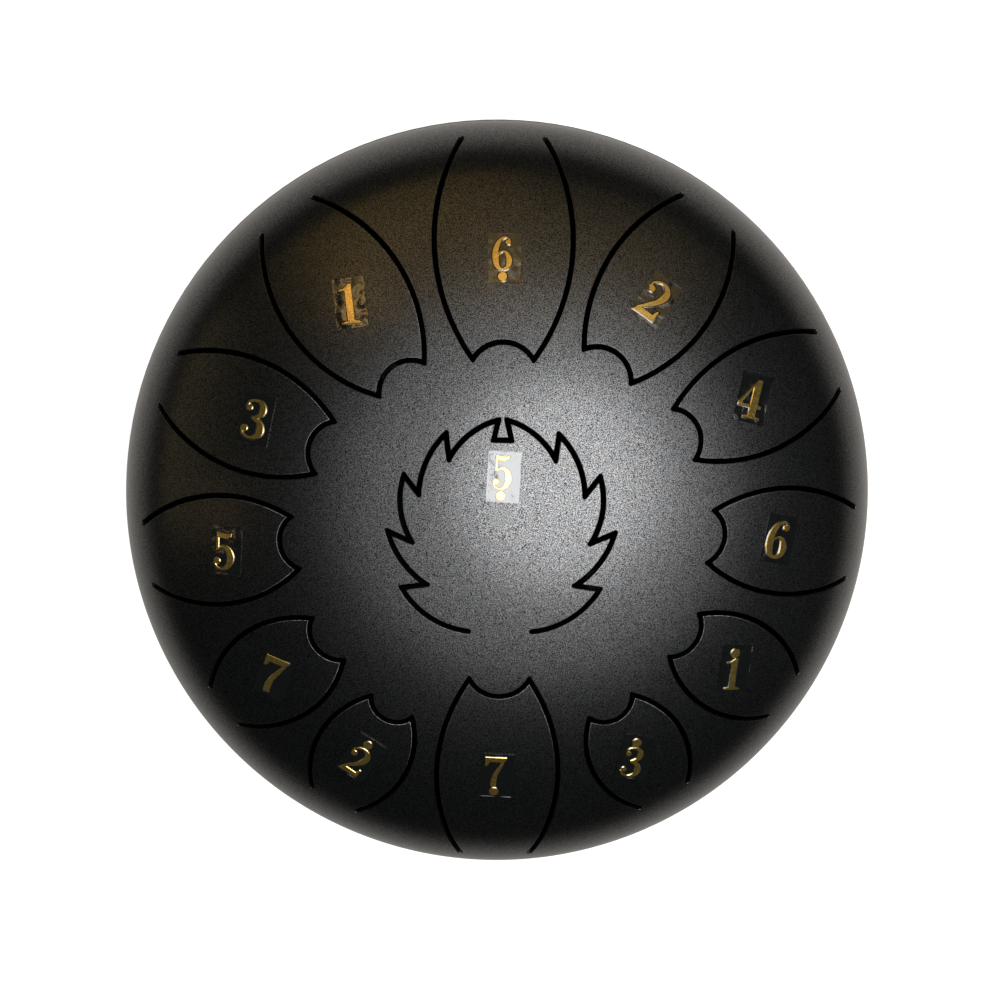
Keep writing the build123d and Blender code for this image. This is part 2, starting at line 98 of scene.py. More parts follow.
LABELS = [
    Label("low_5", "5", -1, -0.1, 9.6, 3.0),
    Label("low_6", "6", -1, -0.3, 63.0, 0.0),
    Label("low_7", "7", -1, -0.6, -68.6, 3.0),
    Label("1", "1", 0, -38.5, 51.4, -8.0),
    Label("2", "2", 0, 37.6, 53.4, 35.0),
    Label("3", "3", 0, -62.1, 22.3, 11.0),
    Label("4", "4", 0, 62.9, 28.8, 15.0),
    Label("5", "5", 0, -69.9, -11.4, 3.0),
    Label("6", "6", 0, 70.6, -7.1, 12.0),
    Label("7", "7", 0, -57.5, -43.2, 20.0),
    Label("high_1", "1", 1, 60.1, -40.7, 4.0),
    Label("high_2", "2", 1, -35.5, -64.5, 33.0),
    Label("high_3", "3", 1, 34.9, -64.0, 10.0),
]

# Numerals one unit high: strokes with x, y and width along the middle line, plates, and balls
Glyph = namedtuple("Glyph", "strokes plates balls")
GLYPHS = {
    "1": Glyph(
        [],
        [
            [(-0.07, 0.05), (0.12, 0.05), (0.12, 1.0), (0.04, 1.0), (-0.1, 0.89), (-0.22, 0.87),
             (-0.22, 0.82), (-0.07, 0.83)],
            [(-0.22, 0.0), (0.27, 0.0), (0.27, 0.05), (0.12, 0.09), (-0.07, 0.09), (-0.22, 0.05)],
        ],
        [],
    ),
    "2": Glyph(
        [[(-0.271, 0.72, 0.05), (-0.215, 0.87, 0.06), (-0.023, 0.965, 0.07), (0.169, 0.88, 0.14),
          (0.215, 0.71, 0.19), (0.113, 0.48, 0.15), (-0.102, 0.26, 0.09), (-0.271, 0.08, 0.06)]],
        [[(-0.316, 0.0), (0.277, 0.0), (0.305, 0.3), (0.243, 0.3), (0.192, 0.16), (-0.158, 0.17),
          (-0.316, 0.05)]],
        [(-0.186, 0.7, 0.088)],
    ),
    "3": Glyph(
        [
            [(-0.225, 0.79, 0.05), (-0.171, 0.92, 0.06), (0.0, 0.97, 0.06), (0.15, 0.91, 0.13),
             (0.193, 0.76, 0.18), (0.128, 0.61, 0.12), (-0.054, 0.53, 0.05)],
            [(-0.054, 0.53, 0.05), (0.139, 0.46, 0.13), (0.214, 0.27, 0.2), (0.15, 0.1, 0.14),
             (-0.043, 0.03, 0.06), (-0.214, 0.09, 0.06), (-0.278, 0.22, 0.05)],
        ],
        [],
        [(-0.161, 0.77, 0.078), (-0.203, 0.24, 0.088)],
    ),
    "4": Glyph(
        [],
        [
            [(0.0, 0.04), (0.2, 0.04), (0.2, 1.0), (0.089, 1.0), (0.0, 0.862)],
            [(0.089, 1.0), (-0.322, 0.36), (-0.233, 0.35), (0.033, 0.83)],
            [(-0.322, 0.27), (0.311, 0.27), (0.311, 0.35), (-0.233, 0.35), (-0.278, 0.43), (-0.322, 0.36)],
            [(-0.133, 0.0), (0.333, 0.0), (0.333, 0.05), (0.2, 0.08), (0.0, 0.08), (-0.133, 0.05)],
        ],
        [],
    ),
    "5": Glyph(
        [[(-0.17, 0.53, 0.05), (-0.04, 0.62, 0.07), (0.11, 0.57, 0.14), (0.19, 0.37, 0.19),
          (0.14, 0.15, 0.15), (-0.02, 0.035, 0.06), (-0.17, 0.08, 0.06), (-0.24, 0.2, 0.05)]],
        [[(-0.2, 1.0), (-0.05, 0.965), (0.1, 0.965), (0.21, 0.99), (0.19, 0.89), (0.05, 0.82),
          (-0.13, 0.84), (-0.13, 0.56), (-0.2, 0.5)]],
        [(-0.165, 0.24, 0.088)],
    ),
    "6": Glyph(
        [
            [(0.235, 0.86, 0.05), (0.107, 0.97, 0.06), (-0.064, 0.89, 0.11), (-0.182, 0.66, 0.17),
             (-0.203, 0.36, 0.19), (-0.139, 0.12, 0.14), (0.0, 0.035, 0.07)],
            [(0.0, 0.035, 0.07), (0.139, 0.12, 0.13), (0.193, 0.3, 0.18), (0.128, 0.5, 0.12),
             (0.0, 0.565, 0.06), (-0.139, 0.48, 0.06)],
        ],
        [],
        [(0.166, 0.83, 0.085)],
    ),
    "7": Glyph(
        [[(0.251, 0.93, 0.07), (0.125, 0.66, 0.1), (0.0, 0.4, 0.14), (-0.034, 0.14, 0.17),
          (-0.023, 0.0, 0.16)]],
        [[(-0.319, 1.0), (0.308, 1.0), (0.308, 0.93), (0.205, 0.83), (-0.182, 0.84), (-0.251, 0.7),
          (-0.319, 0.7)]],
        [],
    ),
}

# Small forms that only the scene has, in millimetres or steps
EDGE_ROUND = 0.17
EDGE_STEPS = (0.0, 30.0, 60.0, 90.0)  # degrees round the edge
JOIN_STEPS = 8
JOIN_REACH = 1.2  # in half slot widths
FLEX_LENGTH = 6.0
BEVEL = 0.18
FILM_CURL = {"7": 0.1, "high_1": 0.14, "high_2": 0.2, "high_3": 0.2, "low_7": 0.24}
FILM_CURL_ELSEWHERE = 0.05
FILM_CURL_REACH = 0.3
CURL_STEADY = 0.65  # share of the curl that doesn't change along an edge
CURL_WAVE = (7.3, 2.9, 0.7)  # radians per label, per side and per millimetre
FILM_RIPPLE = 0.03
RIPPLE_WAVES = ((0.9, 0.4, 1), (0.5, -0.8, 2))  # radians per millimetre in x and y, and per label
DRAPE_WIDTH = 0.4
DRAPE_STEPS = (0.0, 0.25, 0.5, 0.75, 1.0)
PRESSED_FLAT = ("low_5",)

# Fineness of the meshes, in millimetres or steps
SLOT_STEP = 0.8
CAP_STEPS = 8
GRID_STEP = 3.0
ROOT_STEP = 1.5
RIM_STEPS = 320
KEEP_CLEAR = 1.1
FILM_STEP = 0.9
FILM_EDGE_STEPS = (0.0, 0.1, 0.2, 0.32, 0.5, 0.8, 1.3)
CURVE_STEPS = 6
BALL_STEPS = 28
SHORTEST_EDGE = 0.12
SMALLEST_AREA = 0.3
SHARPEST_SPREAD = 0.5
MERGE = 1e-6
MERGE_LOOPS = 1e-4
STRAIGHT = 1e-3
SLIGHT = 1e-3
TINY = 1e-9
NOTHING = 1e-12

CROWN = ((RIM_RADIUS - KNUCKLE) ** 2 + UPPER_RISE**2 - KNUCKLE**2) / (2 * (UPPER_RISE - KNUCKLE))
MEET = asin((RIM_RADIUS - KNUCKLE) / (CROWN - KNUCKLE))


def slope_at(radius):
    """Slope of the dome at plan radii."""
    on_crown = np.arcsin(np.clip(radius / CROWN, -1, 1))
    on_knuckle = np.arcsin(np.clip((radius - RIM_RADIUS + KNUCKLE) / KNUCKLE, -1, 1))
    return np.where(radius < CROWN * sin(MEET), on_crown, on_knuckle)


def dome(plan, depth=0.0):
    """Points under or over the dome's outer face at complex plan points, and the face's normals there."""
    plan = np.asarray(plan, complex)
    radius = np.abs(plan)
    slope = slope_at(radius)
    on_crown = UPPER_RISE - CROWN + CROWN * np.cos(slope)
    height = np.where(slope < MEET, on_crown, KNUCKLE * np.cos(slope))
    outward = plan / np.maximum(radius, TINY)
    normals = np.stack([outward.real * np.sin(slope), outward.imag * np.sin(slope), np.cos(slope)], 1)
    points = np.stack([plan.real, plan.imag, SEAM_Z + height], 1)
    return points - np.multiply(normals.T, depth).T, normals


def unrolled(plan):
    """Plan points moved out to their distance from the pole along the dome."""
    radius = np.abs(plan)
    slope = slope_at(radius)
    arc = np.where(slope < MEET, CROWN * slope, CROWN * MEET + KNUCKLE * (slope - MEET))
    return plan * arc / np.maximum(radius, TINY)


def rolled(arc):
    """Plan radii at distances from the pole along the dome."""
    slope = np.where(arc < CROWN * MEET, arc / CROWN, MEET + (arc - CROWN * MEET) / KNUCKLE)
    on_knuckle = RIM_RADIUS - KNUCKLE + KNUCKLE * np.sin(slope)
    return np.where(slope < MEET, CROWN * np.sin(slope), on_knuckle)


# Slot paths: lines and arcs in plan, as complex numbers, with the tongue on their left
Line = namedtuple("Line", "start end")
Arc = namedtuple("Arc", "centre radius begin sweep")


def arc_through(a, b, c):
    """The arc from a through b to c."""
    ratio = (c - a) / (b - a)
    centre = a + (b - a) * (ratio - abs(ratio) ** 2) / (2j * ratio.imag)
    return Arc(centre, abs(a - centre), phase(a - centre), phase((c - centre) / (a - centre)))


def point_at(piece, share):
    if isinstance(piece, Line):
        return piece.start + (piece.end - piece.start) * share
    return piece.centre + piece.radius * exp(1j * (piece.begin + piece.sweep * share))


def heading(piece, share):
    if isinstance(piece, Line):
        return (piece.end - piece.start) / abs(piece.end - piece.start)
    return 1j * np.sign(piece.sweep) * exp(1j * (piece.begin + piece.sweep * share))


def length(piece):
    if isinstance(piece, Line):
        return abs(piece.end - piece.start)
    return abs(piece.radius * piece.sweep)


def moved_left(piece, distance):
    if isinstance(piece, Line):
        shift = 1j * heading(piece, 0) * distance
        return Line(piece.start + shift, piece.end + shift)
    return piece._replace(radius=piece.radius - np.sign(piece.sweep) * distance)


def crossings(first, second):
    """Points where the lines or circles that carry two pieces cross."""
    if isinstance(first, Line) and isinstance(second, Line):
        u, v = heading(first, 0), heading(second, 0)
        gap = second.start - first.start
        along = (gap.conjugate() * v).imag / (u.conjugate() * v).imag
        return [first.start + u * along]
    if isinstance(first, Line):
        first, second = second, first
    if isinstance(second, Line):
        u = heading(second, 0)
        foot = second.start + u * ((first.centre - second.start) * u.conjugate()).real
        half = max(first.radius**2 - abs(foot - first.centre) ** 2, 0) ** 0.5
        return [foot + u * half, foot - u * half]
    gap = second.centre - first.centre
    along = (abs(gap) ** 2 + first.radius**2 - second.radius**2) / (2 * abs(gap))
    half = max(first.radius**2 - along**2, 0) ** 0.5
    unit = gap / abs(gap)
    return [first.centre + unit * (along + 1j * half), first.centre + unit * (along - 1j * half)]


def cut_at(piece, start=None, end=None):
    """A piece with one end moved along it to a point on it."""
    if isinstance(piece, Line):
        return Line(piece.start if start is None else start, piece.end if end is None else end)
    if start is not None:
        step = phase((start - piece.centre) / exp(1j * piece.begin))
        return piece._replace(begin=piece.begin + step, sweep=piece.sweep - step)
    step = phase((end - piece.centre) / exp(1j * (piece.begin + piece.sweep)))
    return piece._replace(sweep=piece.sweep + step)


def slot_side(path, distance, steps):
    """Points of a line beside a path: cut at inner corners, with blunt points at outer ones."""
    pieces = [moved_left(piece, distance) for piece in path]
    rounds = {}
    for index in range(len(path) - 1):
        corner = point_at(path[index], 1)
        before, after = heading(path[index], 1), heading(path[index + 1], 0)
        turn = (before.conjugate() * after).imag
        if abs(turn) < STRAIGHT:
            continue
        if turn * distance > 0:
            meet = min(crossings(pieces[index], pieces[index + 1]), key=lambda p: abs(p - corner))
            pieces[index] = cut_at(pieces[index], end=meet)
            pieces[index + 1] = cut_at(pieces[index + 1], start=meet)
        else:
            begin = point_at(pieces[index], 1) - corner
            sweep = phase((point_at(pieces[index + 1], 0) - corner) / begin)
            rounds[index] = []
            for k in range(1, JOIN_STEPS):
                turned = sweep * k / JOIN_STEPS
                reach = 1 / cos(min(abs(turned), abs(sweep - turned)))
                rounds[index].append(corner + begin * exp(1j * turned) * min(reach, JOIN_REACH))
    points = []
    for index, piece in enumerate(pieces):
        shared = index > 0 and index - 1 not in rounds
        points += [point_at(piece, k / steps[index]) for k in range(1 if shared else 0, steps[index] + 1)]
        points += rounds.get(index, [])
    return points


def slot_loop(path, distance):
    """Closed line round a slot, tongue side first, and how many of its points are on the tongue side."""
    steps = [max(2, ceil(length(piece) / SLOT_STEP)) for piece in path]
    left = slot_side(path, distance, steps)
    right = slot_side(path, -distance, steps)
    first, last = heading(path[0], 0), heading(path[-1], 1)
    turns = [exp(-1j * pi * k / CAP_STEPS) for k in range(1, CAP_STEPS)]
    far_cap = [point_at(path[-1], 1) + 1j * last * distance * turn for turn in turns]
    near_cap = [point_at(path[0], 0) - 1j * first * distance * turn for turn in turns]
    return np.array(left + far_cap + right[::-1] + near_cap), len(left)


def petal_path(petal):
    """A petal's slot: up one side, across the notched tip and down the other side."""
    along = exp(1j * radians(petal.bearing)) * HUNDREDTH
    tips, roots, bows = {}, {}, {}
    for hand in (1, -1):
        tips[hand] = complex(petal.tip_radius, hand * petal.tip_half)
        roots[hand] = complex(petal.root_radius, hand * petal.root_half)
        across = 1j * (tips[hand] - roots[hand]) / abs(tips[hand] - roots[hand])
        across *= hand * np.sign(across.imag)
        bows[hand] = (tips[hand] + roots[hand]) / 2 + across * petal.bow
    notch = complex(petal.tip_radius + petal.notch)
    path = [(roots[1], bows[1], tips[1]), (tips[1], notch, tips[-1]), (tips[-1], bows[-1], roots[-1])]
    return [arc_through(a * along, b * along, c * along) for a, b, c in path]


def in_millimetres(piece):
    if isinstance(piece, Line):
        return Line(piece.start * HUNDREDTH, piece.end * HUNDREDTH)
    return piece._replace(centre=piece.centre * HUNDREDTH, radius=piece.radius * HUNDREDTH)


def run_backwards(piece):
    if isinstance(piece, Line):
        return Line(piece.end, piece.start)
    return piece._replace(begin=piece.begin + piece.sweep, sweep=-piece.sweep)


def flipped_over(piece):
    """A piece on the other side of the y axis."""
    if isinstance(piece, Line):
        return Line(-piece.start.conjugate(), -piece.end.conjugate())
    return piece._replace(centre=-piece.centre.conjugate(), begin=pi - piece.begin, sweep=-piece.sweep)


def leaf_path():
    """The leaf's slot: up its right edge, round the stem and down its left edge."""
    start = complex(LEAF.neck_half, LEAF.stem_top)
    half = [Line(complex(LEAF.foot_half, LEAF.stem_foot), start)]
    for through, valley, tooth in LEAF_BAYS:
        half.append(arc_through(start, complex(*through), complex(*valley)))
        if tooth:
            half.append(Line(complex(*valley), complex(*tooth)))
            start = complex(*tooth)
    half = [in_millimetres(piece) for piece in half]
    right = [run_backwards(piece) for piece in reversed(half)]
    left = [flipped_over(piece) for piece in half]
    return right + [Line(right[-1].end, left[0].start)] + left


Tongue = namedtuple("Tongue", "note path bearing root_radius")
TONGUES = [Tongue(LEAF.note, leaf_path(), LEAF.bearing, LEAF.root_radius)]
TONGUES += [Tongue(petal.note, petal_path(petal), petal.bearing, petal.root_radius) for petal in PETALS]


def inside(points, polygon):
    """Which points lie inside a polygon, all as complex numbers."""
    found = np.zeros(len(points), bool)
    near = (points.real > polygon.real.min()) & (points.real < polygon.real.max())
    near &= (points.imag > polygon.imag.min()) & (points.imag < polygon.imag.max())
    picked = points[near]
    start, end = polygon, np.roll(polygon, -1)
    spans = (start.imag[None] > picked.imag[:, None]) != (end.imag[None] > picked.imag[:, None])
    rise = np.where(end.imag == start.imag, NOTHING, end.imag - start.imag)
    cross_x = start.real + (picked.imag[:, None] - start.imag) * (end.real - start.real) / rise
    found[near] = np.count_nonzero(spans & (picked.real[:, None] < cross_x), axis=1) % 2 == 1
    return found


class Patch:
    """Points, normals and faces gathered for meshes that share them."""

    def __init__(self):
        self.points = []
        self.normals = []
        self.faces = {}

    def add_points(self, points):
        first = len(self.points)
        self.points.extend(points)
        return list(range(first, first + len(points)))

    def add_normals(self, normals):
        first = len(self.normals)
        self.normals.extend(normals)
        return list(range(first, first + len(normals)))

    def add_face(self, owner, corners, normals):
        self.faces.setdefault(owner, []).append((tuple(corners), tuple(normals)))

    def add_flat(self, owner, corners, towards):
        """A flat-shaded face turned to look along a direction."""
        a, b, c = (np.asarray(self.points[corner]) for corner in (corners[0], corners[1], corners[-1]))
        normal = np.cross(b - a, c - a)
        if normal @ towards < 0:
            corners = corners[::-1]
            normal = -normal
        size = np.linalg.norm(normal)
        normal = normal / size if size > NOTHING else np.asarray(towards, float)
        shade = self.add_normals([normal])[0]
        self.add_face(owner, corners, [shade] * len(corners))

    def build(self, owner, name):
        used = sorted({corner for corners, _ in self.faces[owner] for corner in corners})
        place = {corner: index for index, corner in enumerate(used)}
        mesh = bpy.data.meshes.new(name)
        points = [np.asarray(self.points[corner]) * MM for corner in used]
        mesh.from_pydata(points, [], [[place[c] for c in corners] for corners, _ in self.faces[owner]])
        mesh.shade_smooth()
        shades = [tuple(self.normals[n]) for _, normals in self.faces[owner] for n in normals]
        mesh.normals_split_custom_set(shades)
        piece = bpy.data.objects.new(name, mesh)
        bpy.context.scene.collection.objects.link(piece)
        return piece


def sheet_patch():
    """The dome with its tongues, as faces that belong to the shell or to a tongue."""
    patch = Patch()
    angles = [exp(2j * pi * k / RIM_STEPS) for k in range(RIM_STEPS)]
    plan = [RIM_RADIUS * angle for angle in angles]
    edges = [(k, (k + 1) % RIM_STEPS) for k in range(RIM_STEPS)]
    slots = []
    for tongue in TONGUES:
        rings = []
        for angle in EDGE_STEPS:
            ring, tongue_count = slot_loop(tongue.path, SLOT_HALF + EDGE_ROUND * (1 - sin(radians(angle))))
            rings.append(ring)
        first = len(plan)
        count = len(rings[0])
        plan.extend(rings[0])
        edges += [(first + k, first + (k + 1) % count) for k in range(count)]
        a, b = rings[0][tongue_count - 1], rings[0][0]
        root_steps = ceil(abs(b - a) / ROOT_STEP)
        root = [first + tongue_count - 1]
        root += range(len(plan), len(plan) + root_steps - 1)
        root.append(first)
        plan.extend(a + (b - a) * k / root_steps for k in range(1, root_steps))
        edges += zip(root[:-1], root[1:])
        slots.append((tongue, rings, first, count, tongue_count, root))

    flat = unrolled(np.array(plan))
    tree = KDTree(len(flat))
    for index, point in enumerate(flat):
        tree.insert((point.real, point.imag, 0), index)
    tree.balance()
    rim_arc = CROWN * MEET + KNUCKLE * (pi / 2 - MEET)
    filling = [0j]
    ring_count = round(rim_arc / GRID_STEP)
    for k in range(1, ring_count):
        arc = rim_arc * k / ring_count
        steps = round(2 * pi * arc / GRID_STEP)
        filling += [arc * exp(2j * pi * (step + 0.5 * (k % 2)) / steps) for step in range(steps)]
    filling = [p for p in filling if tree.find((p.real, p.imag, 0))[2] > KEEP_CLEAR]
    filling_plan = [p / abs(p) * float(rolled(np.array(abs(p)))) if p else 0j for p in filling]
    flat = np.concatenate([flat, filling])
    plan = np.concatenate([plan, filling_plan])

    corners = [Vector((p.real, p.imag)) for p in flat]
    _, _, triangles, sources, _, _ = delaunay_2d_cdt(corners, edges, [], 0, MERGE)
    source = [origin[0] for origin in sources]
    triangles = np.array([[source[c] for c in triangle] for triangle in triangles])
    a, b, c = (flat[triangles[:, k]] for k in range(3))
    turned = ((b - a).conjugate() * (c - a)).imag < 0
    triangles[turned] = triangles[turned][:, ::-1]
    middles = (a + b + c) / 3
    owners = np.zeros(len(triangles), int)
    for number, (_, _, first, count, tongue_count, root) in enumerate(slots, 1):
        owners[inside(middles, flat[first:first + count])] = -1
        owners[inside(middles, flat[list(range(first, first + tongue_count)) + root[1:-1]])] = number

    outer, normals = dome(plan)
    inner, _ = dome(plan, SHEET)
    outer_ids, inner_ids = patch.add_points(outer), patch.add_points(inner)
    up_ids, down_ids = patch.add_normals(normals), patch.add_normals(-normals)
    for owner, triangle in zip(owners, triangles):
        if owner < 0:
            continue
        patch.add_face(owner, [outer_ids[c] for c in triangle], [up_ids[c] for c in triangle])
        patch.add_face(owner, [inner_ids[c] for c in triangle[::-1]], [down_ids[c] for c in triangle[::-1]])
    for k in range(RIM_STEPS):
        after = (k + 1) % RIM_STEPS
        patch.add_flat(0, [outer_ids[k], inner_ids[k], inner_ids[after], outer_ids[after]], (0, 0, -1))

    for number, (tongue, rings, first, count, tongue_count, root) in enumerate(slots, 1):
        top, _ = dome(rings[0])
        foot, foot_normals = dome(rings[-1])
        facing = foot - top
        facing /= np.linalg.norm(facing, axis=1)[:, None]
        columns = [[outer_ids[first + k] for k in range(count)]]
        shades = [[up_ids[first + k] for k in range(count)]]
        for ring, angle in zip(rings[1:], EDGE_STEPS[1:]):
            tilt = radians(angle)
            points, ring_normals = dome(ring, EDGE_ROUND * (1 - cos(tilt)))
            columns.append(patch.add_points(points))
            shades.append(patch.add_normals(ring_normals * cos(tilt) + facing * sin(tilt)))
        columns.append(patch.add_points(dome(rings[-1], SHEET)[0]))
        shades.append(patch.add_normals(facing))
        under = patch.add_normals(-foot_normals)
        bottom = [inner_ids[first + k] for k in range(count)]
        bottom_shades = [down_ids[first + k] for k in range(count)]
        for k in range(count):
            after = (k + 1) % count
            owner = number if k < tongue_count - 1 else 0
            for level in range(len(columns) - 1):
                upper, lower = columns[level], columns[level + 1]
                high, low = shades[level], shades[level + 1]
                patch.add_face(owner, [upper[k], lower[k], lower[after], upper[after]],
                               [high[k], low[k], low[after], high[after]])
            lower = columns[-1]
            patch.add_face(owner, [lower[k], bottom[k], bottom[after], lower[after]],
                           [under[k], bottom_shades[k], bottom_shades[after], under[after]])
        out = exp(1j * radians(tongue.bearing))
        for owner, sign in ((number, 1), (0, -1)):
            towards = np.array([out.real, out.imag, 0]) * sign
            for start, end in zip(root[:-1], root[1:]):
                face = [outer_ids[start], outer_ids[end], inner_ids[end], inner_ids[start]]
                patch.add_flat(owner, face, towards)
            for k in (0, tongue_count - 1):
                patch.add_flat(owner, [column[k] for column in columns] + [bottom[k]], towards)
    return patch


def root_points(tongue):
    """The middle of a tongue's root and a point where its bend has ended, in metres."""
    out = exp(1j * radians(tongue.bearing))
    radius = tongue.root_radius * HUNDREDTH
    start = dome([out * radius], SHEET / 2)[0][0]
    slope = float(slope_at(np.array(radius)))
    to_tip = np.array([-out.real * cos(slope), -out.imag * cos(slope), sin(slope)])
    return Vector(start * MM), Vector((start + to_tip * FLEX_LENGTH) * MM)


# Materials
def fill_sockets(tree, node, values):
    """Set a node's inputs to values, or link them to other nodes' outputs."""
    for key, value in values.items():
        if isinstance(value, bpy.types.NodeSocket):
            tree.links.new(value, node.inputs[key])
        else:
            node.inputs[key].default_value = value


def node_material(name):
    """A new material, a function that adds and links its nodes, and places on the object."""
    material = bpy.data.materials.new(name)
    material.use_nodes = True

    def node(kind, inputs=None, **settings):
        added = material.node_tree.nodes.new(kind)
        for key, value in settings.items():
            setattr(added, key, value)
        fill_sockets(material.node_tree, added, inputs or {})
        return added

    return material, node, node("ShaderNodeTexCoord").outputs["Object"]


def set_shader(material, values):
    fill_sockets(material.node_tree, material.node_tree.nodes["Principled BSDF"], values)


def noise(node, place, scale, detail=2.0, roughness=0.5):
    inputs = {"Vector": place, "Scale": scale, "Detail": detail, "Roughness": roughness}
    return node("ShaderNodeTexNoise", inputs).outputs["Fac"]


def bump(node, height, strength, distance, **under):
    """A normal tilted by a height, over another normal if one is given."""
    inputs = {"Strength": strength, "Distance": distance, "Height": height, **under}
    return node("ShaderNodeBump", inputs).outputs["Normal"]


def ramp(node, factor, low, high, low_at=0.0, high_at=1.0):
    """Colours or greys spread over a factor."""
    spread = node("ShaderNodeValToRGB", {"Fac": factor})
    spread.color_ramp.elements[0].position = low_at
    spread.color_ramp.elements[0].color = (*low, 1)
    spread.color_ramp.elements[1].position = high_at
    spread.color_ramp.elements[1].color = (*high, 1)
    return spread.outputs["Color"]


def span(node, factor, low, high, low_at=0.0, high_at=1.0):
    """Numbers spread over a factor."""
    inputs = {"Value": factor, "From Min": low_at, "From Max": high_at, "To Min": low, "To Max": high}
    return node("ShaderNodeMapRange", inputs).outputs["Result"]


def combined(node, operation, first, second):
    return node("ShaderNodeMath", {0: first, 1: second}, operation=operation).outputs["Value"]


def product(node, first, second):
    """Two colours multiplied."""
    return node("ShaderNodeVectorMath", {0: first, 1: second}, operation="MULTIPLY").outputs["Vector"]


def coat_material(name, painted_shade_attribute=None):
    """Satin black powder coat: a fine pebbled skin with metal flakes that sparkle where it mirrors a light.

    A face attribute can scale a face's colour down, which paints shade on those faces.
    """
    material, node, place = node_material(name)
    grain = noise(node, place, scale=3400.0, detail=0.0)
    hue = noise(node, place, scale=2700.0, detail=0.0)
    peel = noise(node, place, scale=420.0)
    cloud = noise(node, place, scale=14.0, detail=3.0)
    flakes = ramp(node, grain, (0.014, 0.014, 0.014), (0.164, 0.164, 0.166), low_at=0.39, high_at=0.61)
    tint = ramp(node, hue, (1.08, 1.0, 0.9), (0.92, 1.0, 1.1), low_at=0.4, high_at=0.6)
    colour = product(node, flakes, tint)
    if painted_shade_attribute:
        # painted shade: the colour is multiplied by the face attribute's share
        share = node("ShaderNodeAttribute", attribute_name=painted_shade_attribute).outputs["Vector"]
        colour = product(node, colour, share)
    set_shader(material, {
        "Base Color": colour,
        "Metallic": 1.0,
        "Roughness": span(node, cloud, 0.27, 0.33),
        "Normal": bump(node, peel, strength=0.35, distance=0.0001),
    })
    return material


def film_material(name):
    """Clear glossy film stuck flat on the black coat, so that it looks darker than the coat."""
    material, node, place = node_material(name)
    crinkle = noise(node, place, scale=420.0, detail=3.0, roughness=0.65)
    bubble = noise(node, place, scale=150.0, detail=1.0)
    wave = bump(node, bubble, strength=0.6, distance=0.001)
    set_shader(material, {
        "Base Color": ramp(node, crinkle, (0.001, 0.001, 0.001), (0.004, 0.004, 0.0038)),
        "Roughness": span(node, crinkle, 0.06, 0.2),
        "IOR": 1.7,
        "Specular IOR Level": 1.0,
        "Normal": bump(node, crinkle, strength=0.4, distance=0.0003, Normal=wave),
    })
    return material


def gold_material(name):
    """Gold foil print with a slightly uneven face."""
    material, node, place = node_material(name)
    wave = noise(node, place, scale=700.0, detail=3.0, roughness=0.6)
    set_shader(material, {
        "Base Color": ramp(node, wave, (0.64, 0.41, 0.08), (0.88, 0.60, 0.16), low_at=0.3, high_at=0.7),
        "Metallic": 0.95,
        "Roughness": span(node, wave, 0.15, 0.28),
        "Coat Weight": 1.0,
        "Coat Roughness": 0.1,
        "Coat IOR": 1.6,
        "Normal": bump(node, wave, strength=0.3, distance=0.0002),
    })
    return material


def rubber_material(name):
    """Dull black rubber with a little dust."""
    material, node, place = node_material(name)
    grain = noise(node, place, scale=1100.0, detail=3.0, roughness=0.6)
    dust = noise(node, place, scale=90.0, detail=4.0)
    set_shader(material, {
        "Base Color": ramp(node, dust, (0.017, 0.017, 0.018), (0.04, 0.039, 0.037), low_at=0.4, high_at=0.75),
        "Roughness": span(node, grain, 0.72, 0.88),
        "Normal": bump(node, grain, strength=0.3, distance=0.0001),
    })
    return material


def zinc_material(name):
    """Black zinc plate with fine scratches."""
    material, node, place = node_material(name)
    cloud = noise(node, place, scale=300.0, detail=4.0, roughness=0.6)
    scratch = noise(node, place, scale=2200.0)
    set_shader(material, {
        "Base Color": ramp(node, cloud, (0.035, 0.035, 0.034), (0.07, 0.07, 0.068), low_at=0.3, high_at=0.7),
        "Metallic": 1.0,
        "Roughness": span(node, cloud, 0.28, 0.45),
        "Normal": bump(node, scratch, strength=0.12, distance=0.00005),
    })
    return material


coat = coat_material("powder_coat")
film = film_material("label_film")
gold = gold_material("gold_print")
rubber = rubber_material("foot_rubber")
zinc = zinc_material("black_zinc_plate")

# The dome and its tongues
sheet = sheet_patch()
dome_piece = sheet.build(0, "dome")
dome_piece.data.materials.append(coat)
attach(dome_piece, "shell")
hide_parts("upper_shell")
for number, tongue in enumerate(TONGUES, 1):
    piece = sheet.build(number, f"plate_{tongue.note}")
    piece.data.materials.append(coat)
    start, end = root_points(tongue)
    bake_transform(piece)
    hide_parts(f"tongue_{tongue.note}")


# Labels
def label_place(label, local):
    """Plan points of a label's own points."""
    middle = complex(label.x, label.y) * HUNDREDTH
    return middle + np.asarray(local, complex) * exp(-1j * radians(label.turn))


def film_stations(size):
    """Places across the film, closer together by its edges."""
    half = size / 2
    inner = half - FILM_EDGE_STEPS[-1]
    between = np.linspace(-inner, inner, ceil(2 * inner / FILM_STEP) + 1)[1:-1]
    edge = half - np.array(FILM_EDGE_STEPS)
    return np.concatenate([-edge, between, edge[::-1]])


def smooth_line(points):
    """A curve through points of any size (Catmull-Rom)."""
    points = [np.array(p, float) for p in points]
    points = [2 * points[0] - points[1]] + points + [2 * points[-1] - points[-2]]
    curve = []
    for a, b, c, d in zip(points, points[1:], points[2:], points[3:]):
        for k in range(CURVE_STEPS):
            t = k / CURVE_STEPS
            doubled = (2 * b + (c - a) * t + (2 * a - 5 * b + 4 * c - d) * t**2
                       + (3 * b - a - 3 * c + d) * t**3)
            curve.append(0.5 * doubled)
    curve.append(points[-2])
    return curve


